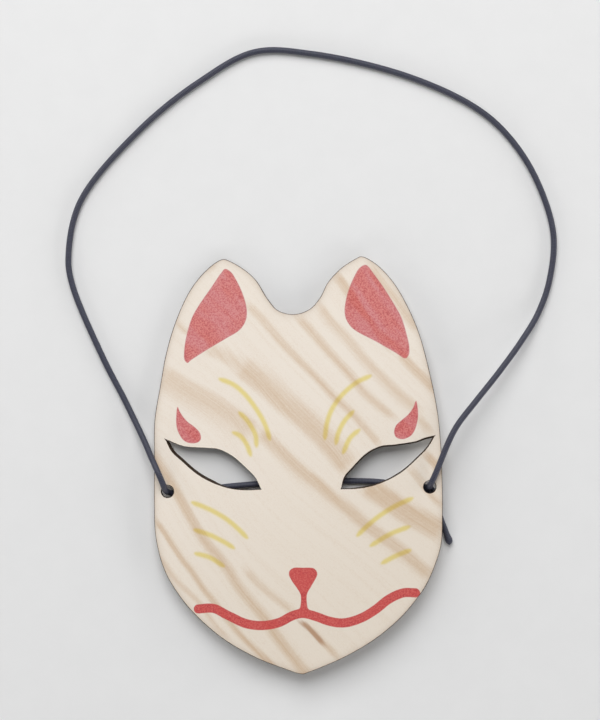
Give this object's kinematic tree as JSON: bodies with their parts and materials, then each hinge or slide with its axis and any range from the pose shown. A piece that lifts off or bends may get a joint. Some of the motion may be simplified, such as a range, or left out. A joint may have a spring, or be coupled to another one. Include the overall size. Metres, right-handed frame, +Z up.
{
  "type": "japanese folk mask",
  "caption": "Thin flat wooden fox mask with pointed ears, slanted eye openings, red and yellow painted markings and a dark elastic head cord.",
  "frame": {"origin": "middle of the board in plan, at the level of the surface that the mask lies on", "axes": "+Z up out of the mask's front, which leans by about 2.5 degrees; +Y to the tips of the ears; +X to the right as the front is seen"},
  "size_m": [0.2473, 0.3142, 0.0145],
  "materials": {
    "board": "bare pale softwood, planed, with thin matt red and yellow paint",
    "cord": "round braided elastic, dark, slightly glossy"
  },
  "bodies": {
    "root": {"mask_board": "board", "cord_back_run": "cord", "cord_through_left": "cord", "cord_loop": "cord", "cord_through_right": "cord", "cord_knot": "cord", "cord_tail_long": "cord", "cord_tail_short": "cord"}
  },
  "joints": []
}
